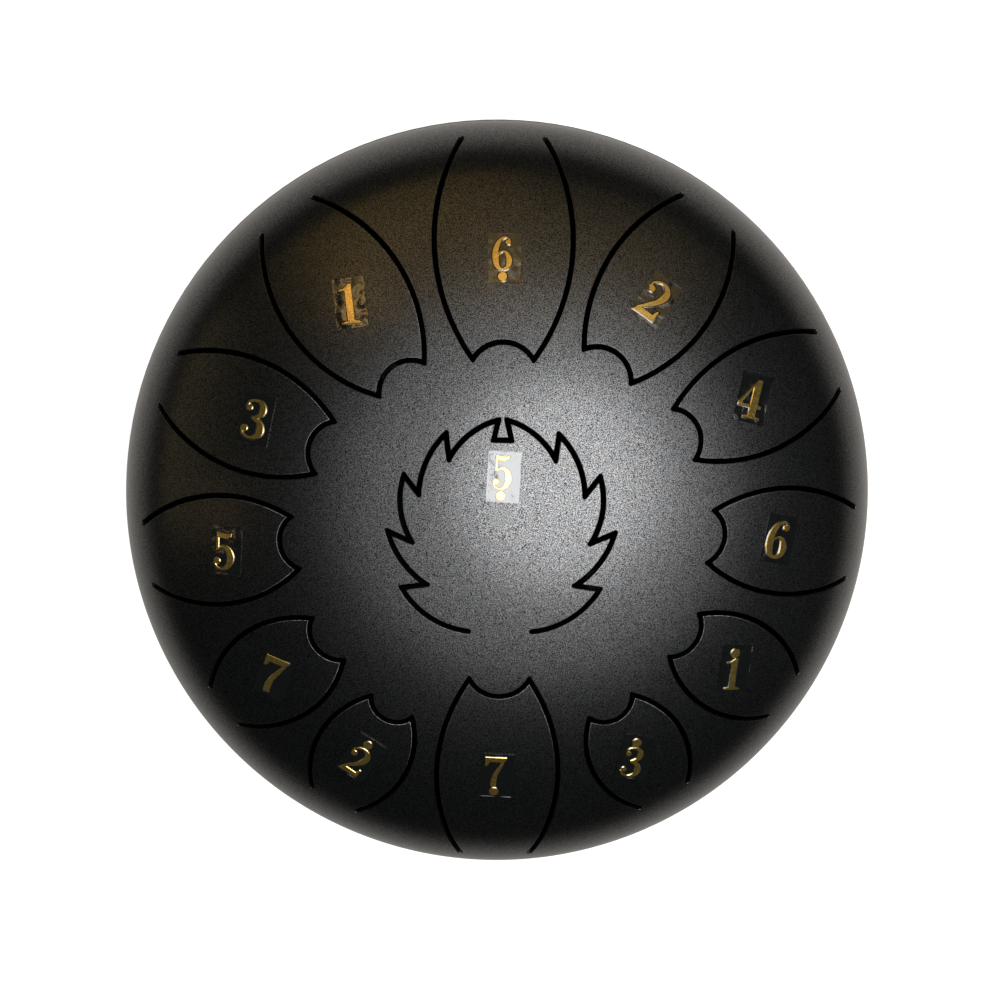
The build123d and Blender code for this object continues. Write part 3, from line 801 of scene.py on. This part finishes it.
def stroke_loop(points):
    """The closed edge of a stroke whose width changes along its middle line."""
    line = smooth_line(points)
    left, right = [], []
    for index, (x, y, width) in enumerate(line):
        before, after = line[max(index - 1, 0)], line[min(index + 1, len(line) - 1)]
        across = 1j * complex(after[0] - before[0], after[1] - before[1])
        across *= width / 2 / abs(across)
        left.append(complex(x, y) + across)
        right.append(complex(x, y) - across)
    return left + right[::-1]


def ball_loop(x, y, radius):
    return [complex(x, y) + radius * exp(2j * pi * k / BALL_STEPS) for k in range(BALL_STEPS)]


def glyph_loops(numeral):
    glyph = GLYPHS[numeral]
    loops = [[complex(*p) for p in plate] for plate in glyph.plates]
    loops += [stroke_loop(stroke) for stroke in glyph.strokes]
    loops += [ball_loop(*ball) for ball in glyph.balls]
    return loops


def joined(loops):
    """The borders of closed loops laid over each other, the borders of holes among them."""
    corners, edges = [], []
    for loop in loops:
        ids = list(range(len(corners), len(corners) + len(loop)))
        edges += zip(ids, ids[1:] + ids[:1])
        corners += [Vector((p.real, p.imag)) for p in loop]
    points, _, triangles, _, _, _ = delaunay_2d_cdt(corners, edges, [], 0, MERGE_LOOPS)
    points = np.array([complex(p.x, p.y) for p in points])
    middles = np.array([points[list(t)].mean() for t in triangles])
    covered = np.any([inside(middles, np.array(loop)) for loop in loops], axis=0)
    triangles = [list(t) for t, kept in zip(triangles, covered) if kept]
    following = {}
    sides = {(a, b) for t in triangles for a, b in zip(t, t[1:] + t[:1])}
    for a, b in sorted(sides):
        if (b, a) not in sides:
            following.setdefault(a, []).append(b)
    borders = []
    for start in sorted(following):
        while following[start]:
            border = [start]
            here = following[start].pop()
            while here != start:
                border.append(here)
                here = following[here].pop()
            borders.append(points[border])
    return borders


def area_of(border):
    return (border.conjugate() * np.roll(border, -1)).imag.sum() / 2


def inset(border, distance):
    """A closed border moved to its left, its corners kept."""
    before, after = np.roll(border, 1), np.roll(border, -1)
    into = (border - before) / np.maximum(np.abs(border - before), TINY)
    onward = (after - border) / np.maximum(np.abs(after - border), TINY)
    middle = into + onward
    middle /= np.maximum(np.abs(middle), TINY)
    spread = np.maximum((middle.conjugate() * onward).real, SHARPEST_SPREAD)
    return border + 1j * middle * distance / spread


def cleaned(border):
    """A border without points that crowd each other."""
    kept = [border[0]]
    for point in border[1:]:
        if abs(point - kept[-1]) > SHORTEST_EDGE:
            kept.append(point)
    if len(kept) > 3 and abs(kept[-1] - kept[0]) < SHORTEST_EDGE:
        kept.pop()
    return np.array(kept)


def numeral_borders(label):
    """The borders of a label's numeral and its octave dot, round the label's middle."""
    height = DOTTED_NUMERAL_HEIGHT if label.dot else NUMERAL_HEIGHT
    stack = height + (DOT_GAP + 2 * DOT_RADIUS if label.dot else 0)
    foot = -stack / 2 if label.dot >= 0 else stack / 2 - height
    loops = [[p * height + 1j * foot for p in loop] for loop in glyph_loops(label.numeral)]
    if label.dot:
        loops.append(ball_loop(0, label.dot * (stack / 2 - DOT_RADIUS), DOT_RADIUS))
    borders = [cleaned(border) for border in joined(loops)]
    return [border for border in borders if abs(area_of(border)) > SMALLEST_AREA]


def numeral_piece(label):
    """A raised numeral with bevelled edges, and its octave dot."""
    borders = numeral_borders(label)
    patch = Patch()
    outline = np.concatenate(borders)
    face = np.concatenate([inset(border, BEVEL) for border in borders])
    rims = []
    for border in borders:
        first = rims[-1][-1] + 1 if rims else 0
        rims.append(list(range(first, first + len(border))))
    edges = [(a, b) for rim in rims for a, b in zip(rim, rim[1:] + rim[:1])]

    def filled(points):
        """Triangles between the rims, by the points' places."""
        corners = [Vector((p.real, p.imag)) for p in points]
        found, _, triangles, sources, _, _ = delaunay_2d_cdt(corners, edges, [], 0, MERGE)
        kept = []
        count = np.zeros(len(triangles), int)
        middles = np.array([sum(complex(*found[c]) for c in t) / 3 for t in triangles])
        for rim in rims:
            count += inside(middles, points[rim])
        for t, times in zip(triangles, count):
            if times % 2 == 1 and all(sources[c] for c in t):
                kept.append([sources[c][0] for c in t])
        return kept

    plan, plan_face = label_place(label, outline), label_place(label, face)
    bottom, normals = dome(plan, -NUMERAL_LOW)
    shoulder, _ = dome(plan, -(NUMERAL_HIGH - BEVEL))
    top, top_normals = dome(plan_face, -NUMERAL_HIGH)
    bottom_ids, shoulder_ids, top_ids = (patch.add_points(p) for p in (bottom, shoulder, top))
    up, down = patch.add_normals(top_normals), patch.add_normals(-normals)
    for t in filled(face):
        patch.add_face(0, [top_ids[c] for c in t], [up[c] for c in t])
    for t in filled(outline):
        patch.add_face(0, [bottom_ids[c] for c in t[::-1]], [down[c] for c in t[::-1]])
    for a, b in edges:
        away = np.cross(shoulder[b] - shoulder[a], normals[a])
        wall = [shoulder_ids[a], bottom_ids[a], bottom_ids[b], shoulder_ids[b]]
        slant = [top_ids[a], shoulder_ids[a], shoulder_ids[b], top_ids[b]]
        patch.add_flat(0, wall, away)
        patch.add_flat(0, slant, away + normals[a] * SLIGHT)
    return patch.build(0, f"digit_{label.note}")


def ring_round(label, outline, outward, height):
    """Points outside a numeral's border, at a height over the dome."""
    return dome(label_place(label, inset(outline, -outward)), -height)[0]


def add_drape(patch, label, outline):
    """The film's rise to the edge of a numeral, as a closed ring round one of the numeral's borders."""
    levels = []
    for share in DRAPE_STEPS:
        height = FILM_HIGH + (NUMERAL_HIGH - BEVEL - FILM_HIGH) * (1 - share) ** 2
        levels.append(ring_round(label, outline, DRAPE_WIDTH * share, height))
    rise = np.array(levels)
    along = np.roll(rise, -1, axis=1) - np.roll(rise, 1, axis=1)
    facing = np.cross(along, np.gradient(rise, axis=0))
    facing /= np.maximum(np.linalg.norm(facing, axis=2), TINY)[..., None]
    _, upward = dome(label_place(label, outline))
    facing *= np.sign((facing * upward).sum(axis=2))[..., None]
    sunk = upward * (FILM_HIGH - FILM_LOW) / 2
    for width in (DRAPE_WIDTH, 0.0):
        levels.append(ring_round(label, outline, width, FILM_HIGH) - sunk)
    ids = [patch.add_points(level) for level in levels]
    shades = [patch.add_normals(level) for level in facing]
    count = len(outline)
    for k in range(count):
        after = (k + 1) % count
        for high, low, high_shade, low_shade in zip(ids, ids[1:], shades, shades[1:]):
            patch.add_face(0, [high[k], low[k], low[after], high[after]],
                           [high_shade[k], low_shade[k], low_shade[after], high_shade[after]])
        for upper, lower in zip(ids[-3:], [*ids[-2:], ids[0]]):
            corner, down, onward = (patch.points[index] for index in (upper[k], lower[k], upper[after]))
            towards = np.cross(down - corner, onward - corner)
            patch.add_flat(0, [upper[k], lower[k], lower[after], upper[after]], towards)


def film_piece(number, label):
    """A thin film that follows the dome, a little rippled, with its edges lifting."""
    patch = Patch()
    x, y = np.meshgrid(film_stations(FILM_SIZE[0]), film_stations(FILM_SIZE[1]))
    rows, wide = x.shape
    plan = label_place(label, (x + 1j * y).ravel() + FILM_SHIFT)
    curl = np.zeros(x.shape)
    half_width, half_length = FILM_SIZE[0] / 2, FILM_SIZE[1] / 2
    edges = (half_width - x, half_width + x, half_length - y, half_length + y)
    most = FILM_CURL.get(label.note, FILM_CURL_ELSEWHERE)
    per_label, per_side, per_length = CURL_WAVE
    for side, distance in enumerate(edges):
        wave = np.sin(per_label * number + per_side * side + per_length * (x + y))
        lift = most * (CURL_STEADY + (1 - CURL_STEADY) * wave)
        curl = np.maximum(curl, lift * np.exp(-distance / FILM_CURL_REACH))
    ripple = np.ones(x.shape)
    for in_x, in_y, per_label in RIPPLE_WAVES:
        ripple *= np.sin(in_x * x + in_y * y + per_label * number)
    lifted = (curl + FILM_RIPPLE * ripple).ravel()
    top, normals = dome(plan, -(FILM_HIGH + lifted))
    bottom, _ = dome(plan, -(FILM_LOW + np.maximum(lifted, 0)))
    grid = top.reshape(rows, wide, 3)
    facing = np.cross(np.gradient(grid, axis=1), np.gradient(grid, axis=0)).reshape(-1, 3)
    facing /= np.linalg.norm(facing, axis=1)[:, None]
    top_ids, bottom_ids = patch.add_points(top), patch.add_points(bottom)
    up, down = patch.add_normals(facing), patch.add_normals(-facing)
    for row in range(rows - 1):
        for column in range(wide - 1):
            a = row * wide + column
            face = [a, a + 1, a + wide + 1, a + wide]
            patch.add_face(0, [top_ids[c] for c in face], [up[c] for c in face])
            patch.add_face(0, [bottom_ids[c] for c in face[::-1]], [down[c] for c in face[::-1]])
    border = list(range(wide)) + [wide * row + wide - 1 for row in range(1, rows)]
    border += [wide * (rows - 1) + column for column in range(wide - 2, -1, -1)]
    border += [wide * row for row in range(rows - 2, 0, -1)]
    for a, b in zip(border, border[1:] + border[:1]):
        away = np.cross(top[b] - top[a], normals[a])
        patch.add_flat(0, [top_ids[a], bottom_ids[a], bottom_ids[b], top_ids[b]], away)
    if label.note not in PRESSED_FLAT:
        for outline in numeral_borders(label):
            add_drape(patch, label, outline)
    return patch.build(0, f"film_{label.note}")


for number, label in enumerate(LABELS):
    for piece, material, node_name, slot in (
        (film_piece(number, label), film, f"label_film_{label.note}", "label_film"),
        (numeral_piece(label), gold, f"numeral_{label.note}", "gold_print"),
    ):
        piece.data.materials.append(material)
        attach(piece, f"tongue_{label.note}")
        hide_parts(node_name)

# Solids that keep their shape. The inside of the bowl, seen through the slots, is painted darker than its
# outside: painted shade, as its faces keep only a small share of the coat's colour.
INSIDE_PAINTED_SHADE = 0.06
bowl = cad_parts["lower_shell"]
bowl_coat_painted_shade = coat_material("powder_coat_bowl_painted_shade", "painted_shade_share")
painted_shade_shares = bowl.data.attributes.new("painted_shade_share", "FLOAT", "FACE")
cavity = bowl.matrix_world.inverted() @ Vector((0, 0, SEAM_Z * MM))
# painted shade on the faces that look into the cavity
for face in bowl.data.polygons:
    painted_shade_shares.data[face.index].value = INSIDE_PAINTED_SHADE if face.normal.dot(cavity - face.center) > 0 else 1.0
for name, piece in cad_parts.items():
    if name.startswith("foot_"):
        material = rubber if name.removeprefix("foot_").isdigit() else zinc
    elif name == "lower_shell":
        material = bowl_coat_painted_shade
    elif name == "rim_weld":
        material = coat
    else:
        continue
    piece.data.materials.clear()
    piece.data.materials.append(material)

# Stage, in metres. The camera sees a white floor with the drum's shadow on it, partly real and partly painted
# shadow:
# the floor's glow is darkened by an occlusion mask and by a painted dark patch under the drum. The coat
# mirrors that white only near the drum and more weakly, because in the photograph it mirrors a dark room.
FLOOR_HALF = 6.0
FLOOR_DROP = 0.0001
FLOOR_GLOW = 0.95
# painted shadow: the floor's glow fades where the drum hides the sky, over this reach and between these open
# shares
SHADOW_REACH = 0.3
SHADOW_SAMPLES = 8
SHADOW_BLACK, SHADOW_CLEAR = 0.1, 0.55  # open shares of the sky
# painted shadow under the drum: the floor is black near the middle and clear from the second distance on
UNDER_TO, BESIDE_FROM = 0.06, 0.14
# painted pool of light: the floor is pale round the drum and dark further out, as the coat mirrors it
PALE_MIDDLE, PALE_TO, DARK_FROM = (0.02, 0.07, 0.0), 0.22, 0.65
PALE_FLOOR, DARK_FLOOR = (0.3, 0.286, 0.267), (0.05, 0.05, 0.05)
# painted reflection: near the drum the floor also glows for mirrored rays, in a warm white
MIRRORED_SHARE = 0.35
WHITE, MIRRORED_WHITE = (1.0, 1.0, 1.0), (1.0, 0.955, 0.89)
floor_mesh = bpy.data.meshes.new("floor")
floor_corners = [(x * FLOOR_HALF, y * FLOOR_HALF, 0) for x, y in ((-1, -1), (1, -1), (1, 1), (-1, 1))]
floor_mesh.from_pydata(floor_corners, [], [(0, 1, 2, 3)])
floor = bpy.data.objects.new("floor", floor_mesh)
floor.location.z = -FLOOR_DROP
bpy.context.scene.collection.objects.link(floor)
floor_material, node, place = node_material("floor")
rays = node("ShaderNodeLightPath").outputs
from_middle = node("ShaderNodeVectorMath", {0: place}, operation="LENGTH").outputs["Value"]
from_pale = node("ShaderNodeVectorMath", {0: place, 1: PALE_MIDDLE}, operation="DISTANCE").outputs["Value"]
open_sky = node("ShaderNodeAmbientOcclusion", {"Distance": SHADOW_REACH}, samples=SHADOW_SAMPLES)
# painted reflection: glow for mirrored rays, strongest near the drum and none beyond the pale zone
near = span(node, from_pale, 0.0, MIRRORED_SHARE, low_at=DARK_FROM, high_at=PALE_TO)
in_mirror = combined(node, "MULTIPLY", rays["Is Glossy Ray"], near)
straight = combined(node, "MAXIMUM", rays["Is Camera Ray"], rays["Is Transmission Ray"])
seen = combined(node, "MAXIMUM", straight, in_mirror)
# painted shadow: the floor's glow darkened by occlusion and by the painted patch under the drum
glow_with_painted_shadow = span(node, open_sky.outputs["AO"], 0.0, FLOOR_GLOW, low_at=SHADOW_BLACK, high_at=SHADOW_CLEAR)
beside = span(node, from_middle, 0.0, 1.0, low_at=UNDER_TO, high_at=BESIDE_FROM)
shaded = combined(node, "MULTIPLY", glow_with_painted_shadow, beside)
faded = span(node, from_pale, 0.0, 1.0, low_at=PALE_TO, high_at=DARK_FROM)
set_shader(floor_material, {
    # painted shadow: the floor's colour is also darkened under the drum
    "Base Color": product(node, ramp(node, faded, PALE_FLOOR, DARK_FLOOR), beside),
    "Roughness": 0.9,
    "Specular IOR Level": 0.0,
    # painted reflection colour: warm white in mirrored rays, white for the camera
    "Emission Color": ramp(node, rays["Is Glossy Ray"], WHITE, MIRRORED_WHITE),
    "Emission Strength": combined(node, "MULTIPLY", seen, shaded),
})
floor_mesh.materials.append(floor_material)

DARK_ROOM = (0.026, 0.032, 0.03)
world = bpy.data.worlds.new("studio")
world.use_nodes = True
bpy.context.scene.world = world
background = world.node_tree.nodes["Background"]
path = world.node_tree.nodes.new("ShaderNodeLightPath")
mix = world.node_tree.nodes.new("ShaderNodeMix")
mix.data_type = "RGBA"
mix.inputs["A"].default_value = (*DARK_ROOM, 1)
mix.inputs["B"].default_value = (*WHITE, 1)
world.node_tree.links.new(path.outputs["Is Camera Ray"], mix.inputs["Factor"])
world.node_tree.links.new(mix.outputs["Result"], background.inputs["Color"])

# Lamps: two softboxes overhead, warm light behind and beside, and small lamps that three labels mirror
Lamp = namedtuple("Lamp", "name place aim shape size watts colour")
TOP = (0.0, 0.0, 0.15)
LAMPS = [
    Lamp("key", (0.378, 0.044, 1.6), TOP, "DISK", (1.25, 1.25), 18.3, (0.98, 0.99, 1.0)),
    Lamp("fill", (0.253, 0.0, 1.6), TOP, "DISK", (2.78, 2.78), 20.0, (1.0, 1.0, 1.0)),
    Lamp("warm_back", (0.08, 1.20, 1.03), TOP, "RECTANGLE", (2.2, 0.75), 1.75, (1.0, 0.68, 0.26)),
    Lamp("warm_low", (-0.50, 1.30, 0.70), TOP, "RECTANGLE", (1.3, 0.4), 0.4, (1.0, 0.65, 0.15)),
    Lamp("warm_left", (-1.45, 0.25, 0.41), TOP, "RECTANGLE", (1.1, 0.5), 0.4, (1.0, 0.77, 0.4)),
    Lamp("glint_one", (-0.76, 1.015, 1.10), (-0.06, 0.085, 0.155), "DISK", (0.26, 0.26), 0.26,
         (1.0, 0.6, 0.2)),
    Lamp("glint_six", (0.0, 1.18, 1.20), (0.0, 0.1, 0.16), "DISK", (0.3, 0.3), 0.13,
         (1.0, 0.62, 0.22)),
    Lamp("glint_five", (-1.44, -0.18, 0.82), (-0.112, -0.02, 0.135), "DISK", (0.2, 0.2), 0.08,
         (1.0, 0.66, 0.3)),
]
for lamp in LAMPS:
    light = bpy.data.lights.new(lamp.name, "AREA")
    light.shape = lamp.shape
    light.size, light.size_y = lamp.size
    light.energy = lamp.watts
    light.color = lamp.colour
    lamp_object = bpy.data.objects.new(lamp.name, light)
    lamp_object.location = lamp.place
    lamp_object.rotation_euler = (Vector(lamp.aim) - Vector(lamp.place)).to_track_quat("-Z", "Y").to_euler()
    bpy.context.collection.objects.link(lamp_object)

# Camera fitted to the photograph
CAMERA_PLACE = (-0.016813, 0.089263, 0.980416)
CAMERA_RIGHT = (0.999753, 0.012211, 0.018583)
CAMERA_BACK = (-0.019730, 0.101731, 0.994616)
SENSOR_WIDTH = 36.0
LENS = 78.413
camera_data = bpy.data.cameras.new("photo_camera")
camera_data.sensor_fit = "HORIZONTAL"
camera_data.sensor_width = SENSOR_WIDTH
camera_data.lens = LENS
camera = bpy.data.objects.new("photo_camera", camera_data)
right = Vector(CAMERA_RIGHT).normalized()
back = Vector(CAMERA_BACK).normalized()
up = back.cross(right).normalized()
right = up.cross(back)
turn = Matrix((right, up, back)).transposed().to_4x4()
camera.matrix_world = Matrix.Translation(CAMERA_PLACE) @ turn
bpy.context.scene.collection.objects.link(camera)
bpy.context.scene.camera = camera
bpy.context.scene.view_settings.view_transform = "Standard"
